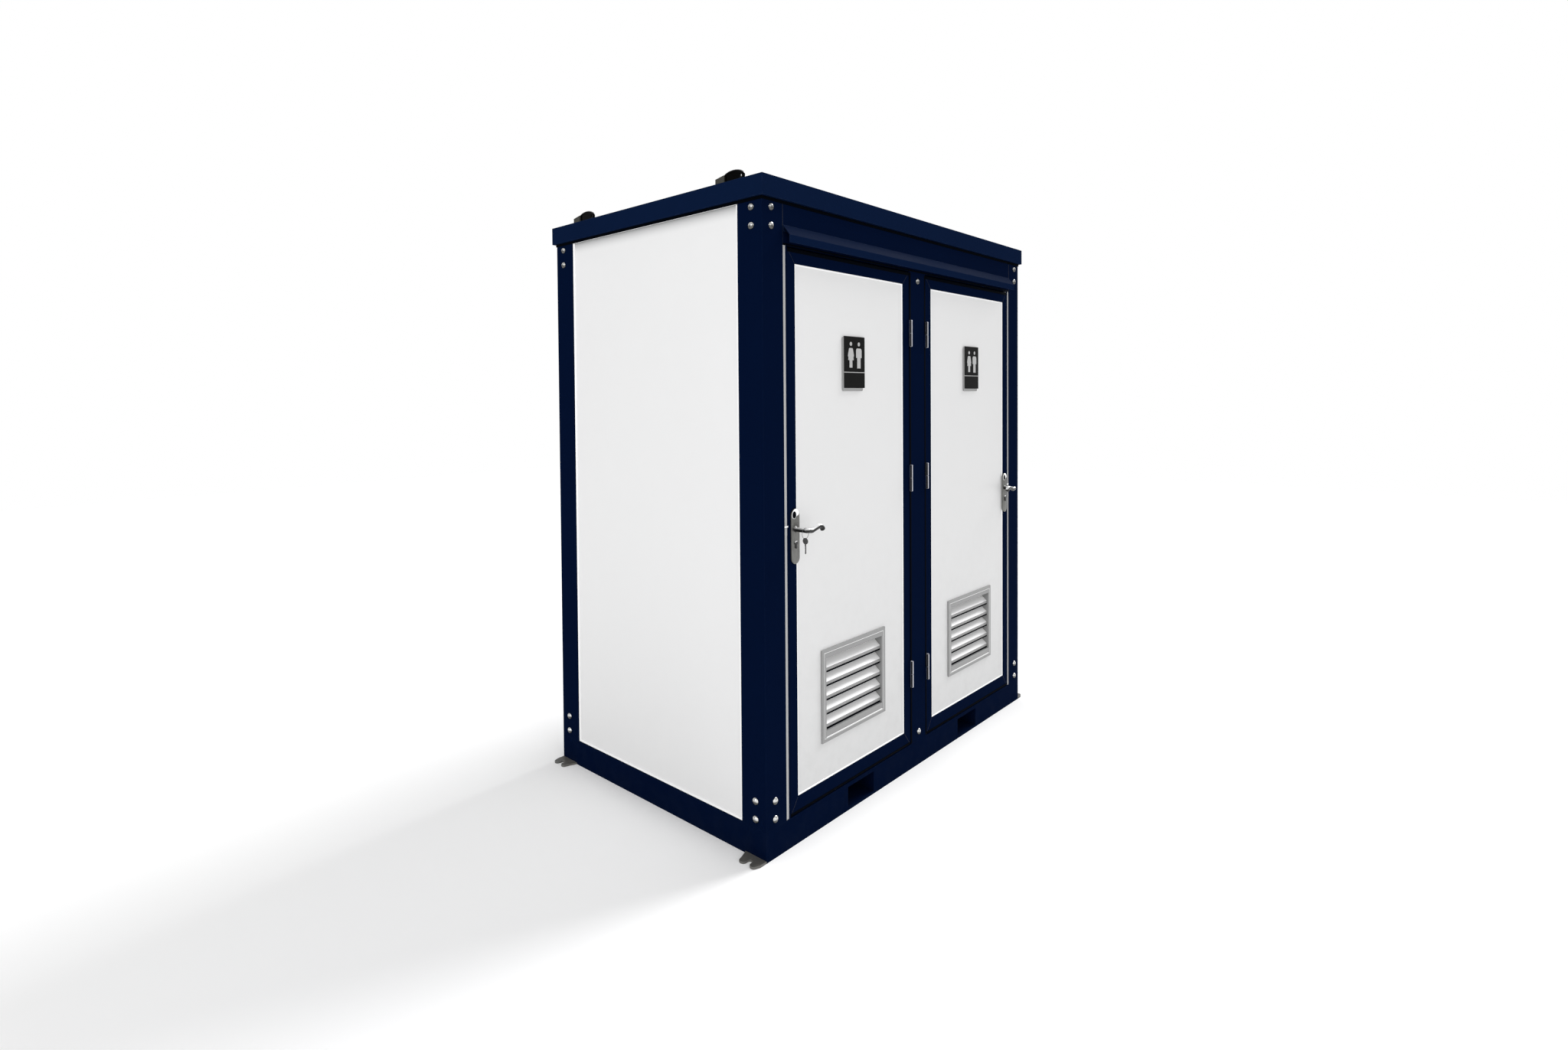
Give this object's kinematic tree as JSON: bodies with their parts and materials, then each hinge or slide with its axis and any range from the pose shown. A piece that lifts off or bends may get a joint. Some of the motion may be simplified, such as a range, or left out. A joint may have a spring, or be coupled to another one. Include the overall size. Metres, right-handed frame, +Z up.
{
  "type": "site toilet cabin",
  "caption": "Box-shaped site toilet cabin with a bolted steel frame, flat panel walls, outward doors with louvre vents, fork pockets, tie-down lugs and lifting eyes.",
  "frame": {"origin": "on the ground at the centre of the base frame, under the middle floor bearer", "axes": "+Z up, -Y out of the front with its doors, +X to the right as seen from the front"},
  "size_m": [2.2586, 1.3058, 2.4948],
  "materials": {
    "navy_steel": "satin powder coat",
    "white_panel": "smooth satin white wall skin",
    "roof_white": "ribbed satin roof skin",
    "floor_vinyl": "sheet vinyl over board",
    "light_strip": "satin light grey",
    "grey_grille": "satin grey moulding with pale slats",
    "black_plate": "fine matt black",
    "stainless": "brushed",
    "chrome": "polished",
    "grey_steel": "bare rolled steel",
    "black_steel": "worn black over polished steel",
    "ceramic": "white glaze",
    "white_plastic": "gloss white"
  },
  "bodies": {
    "cabin": {"base_beam_front": "navy_steel", "base_beam_rear": "navy_steel", "base_beam_left": "navy_steel", "base_beam_right": "navy_steel", "base_bearer_centre": "navy_steel", "fork_tube_left": "navy_steel", "fork_tube_right": "navy_steel", "corner_post_front_left": "navy_steel", "corner_post_front_right": "navy_steel", "corner_post_rear_left": "navy_steel", "corner_post_rear_right": "navy_steel", "roof_frame": "navy_steel", "door_mullion": "navy_steel", "lintel_beam": "navy_steel", "rain_hood": "navy_steel", "side_panel_left": "white_panel", "side_panel_right": "white_panel", "rear_panel": "white_panel", "partition_panel": "white_panel", "roof_panel": "roof_white", "floor_board": "floor_vinyl", "jamb_strip_left": "light_strip", "jamb_strip_right": "light_strip", "tie_down_lug_front_left": "grey_steel", "tie_down_lug_front_right": "grey_steel", "tie_down_lug_rear_left": "grey_steel", "tie_down_lug_rear_right": "grey_steel", "lifting_eye_front_left": "black_steel", "lifting_eye_front_right": "black_steel", "lifting_eye_rear_left": "black_steel", "lifting_eye_rear_right": "black_steel", "toilet_pan_left": "ceramic", "toilet_pan_right": "ceramic", "cistern_left": "ceramic", "cistern_right": "ceramic", "hand_basin_left": "ceramic", "hand_basin_right": "ceramic"},
    "door_left": {"leaf_frame_left": "navy_steel", "door_panel_left": "white_panel", "louvre_vent_left": "grey_grille", "sign_plate_left": "black_plate", "handle_plate_outer_left": "stainless", "handle_plate_inner_left": "stainless"},
    "lever_left": {"lever_handle_left": "chrome"},
    "latch_left": {"latch_bolt_left": "chrome"},
    "seat_left": {"toilet_seat_left": "white_plastic"},
    "flush_left": {"flush_button_left": "chrome"},
    "tap_left": {"tap_button_left": "chrome"},
    "door_right": {"leaf_frame_right": "navy_steel", "door_panel_right": "white_panel", "louvre_vent_right": "grey_grille", "sign_plate_right": "black_plate", "handle_plate_outer_right": "stainless", "handle_plate_inner_right": "stainless"},
    "lever_right": {"lever_handle_right": "chrome"},
    "latch_right": {"latch_bolt_right": "chrome"},
    "seat_right": {"toilet_seat_right": "white_plastic"},
    "flush_right": {"flush_button_right": "chrome"},
    "tap_right": {"tap_button_right": "chrome"},
    "key": {"door_key": "chrome"}
  },
  "joints": [
    {"name": "door_left_swing", "type": "hinge", "parent": "cabin", "child": "door_left", "pos_m": [-0.07, -0.617, 1.157], "axis": [0, 0, 1], "range_deg": [0, 90]},
    {"name": "lever_left_turn", "type": "hinge", "parent": "door_left", "child": "lever_left", "pos_m": [-0.8937, -0.5845, 1.173], "axis": [0, 1, 0], "range_deg": [0, 40], "stiffness_Nm_per_rad": 2, "springref_deg": -22.92},
    {"name": "latch_left_draw", "type": "slide", "parent": "door_left", "child": "latch_left", "axis": [1, 0, 0], "range_m": [0, 0.01]},
    {"name": "seat_left_lift", "type": "hinge", "parent": "cabin", "child": "seat_left", "pos_m": [-0.5145, 0.3605, 0.5401], "axis": [-1, 0, 0], "range_deg": [0, 88]},
    {"name": "flush_left_press", "type": "slide", "parent": "cabin", "child": "flush_left", "axis": [0, 0, -1], "range_m": [0, 0.006], "stiffness_N_per_m": 800, "springref_m": -0.005},
    {"name": "tap_left_press", "type": "slide", "parent": "cabin", "child": "tap_left", "axis": [0, 0, -1], "range_m": [0, 0.006], "stiffness_N_per_m": 800, "springref_m": -0.006},
    {"name": "door_right_swing", "type": "hinge", "parent": "cabin", "child": "door_right", "pos_m": [0.07, -0.617, 1.157], "axis": [0, 0, -1], "range_deg": [0, 90]},
    {"name": "lever_right_turn", "type": "hinge", "parent": "door_right", "child": "lever_right", "pos_m": [0.8937, -0.5845, 1.173], "axis": [0, -1, 0], "range_deg": [0, 40], "stiffness_Nm_per_rad": 2, "springref_deg": -22.92},
    {"name": "latch_right_draw", "type": "slide", "parent": "door_right", "child": "latch_right", "axis": [-1, 0, 0], "range_m": [0, 0.01]},
    {"name": "seat_right_lift", "type": "hinge", "parent": "cabin", "child": "seat_right", "pos_m": [0.5145, 0.3605, 0.5401], "axis": [-1, 0, 0], "range_deg": [0, 88]},
    {"name": "flush_right_press", "type": "slide", "parent": "cabin", "child": "flush_right", "axis": [0, 0, -1], "range_m": [0, 0.006], "stiffness_N_per_m": 800, "springref_m": -0.005},
    {"name": "tap_right_press", "type": "slide", "parent": "cabin", "child": "tap_right", "axis": [0, 0, -1], "range_m": [0, 0.006], "stiffness_N_per_m": 800, "springref_m": -0.006},
    {"name": "key_swing", "type": "hinge", "parent": "lever_left", "child": "key", "pos_m": [-0.8937, -0.6585, 1.173], "axis": [0, 1, 0], "range_deg": [-40, 40]}
  ],
  "couplings": [
    {"joint": "latch_left_draw", "follows": "lever_left_turn", "m_per_rad": 0.0143},
    {"joint": "latch_right_draw", "follows": "lever_right_turn", "m_per_rad": 0.0143}
  ]
}
